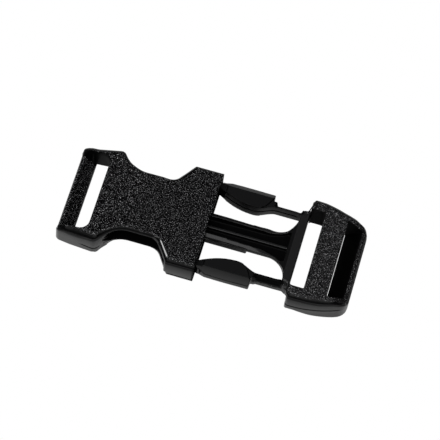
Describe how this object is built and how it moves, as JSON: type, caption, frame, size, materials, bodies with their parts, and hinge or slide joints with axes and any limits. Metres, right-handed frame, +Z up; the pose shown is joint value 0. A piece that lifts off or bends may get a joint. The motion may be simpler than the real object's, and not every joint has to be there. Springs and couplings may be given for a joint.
{
  "type": "side-release strap buckle",
  "caption": "Black plastic side-release buckle for a strap, with its plug part of the way into the socket and a sprung release pad on each side.",
  "frame": {"origin": "on the surface the buckle lies on, at the middle of its length and width as shown", "axes": "+X along the strap from the socket to the plug, +Y across the strap, +Z up from the surface"},
  "size_m": [0.0888, 0.034, 0.0109],
  "materials": {
    "socket_plastic": "black acetal, fine spark-eroded grain on top",
    "plug_plastic": "black acetal, fine grain on the top faces",
    "arm_plastic": "black acetal, smooth satin"
  },
  "bodies": {
    "socket": {"socket": "socket_plastic"},
    "plug": {"plug": "plug_plastic"},
    "arm_left": {"arm_left": "arm_plastic"},
    "arm_right": {"arm_right": "arm_plastic"}
  },
  "joints": [
    {"name": "insert", "type": "slide", "parent": "socket", "child": "plug", "axis": [1, 0, 0], "range_m": [-0.02625, 0.03]},
    {"name": "arm_left_flex", "type": "hinge", "parent": "plug", "child": "arm_left", "pos_m": [0.0249, 0.012, 0.0064], "axis": [0, 0, 1], "range_deg": [-4, 5.5], "stiffness_Nm_per_rad": 0.12},
    {"name": "arm_right_flex", "type": "hinge", "parent": "plug", "child": "arm_right", "pos_m": [0.0249, -0.012, 0.0064], "axis": [0, 0, 1], "range_deg": [-5.5, 4], "stiffness_Nm_per_rad": 0.12}
  ]
}
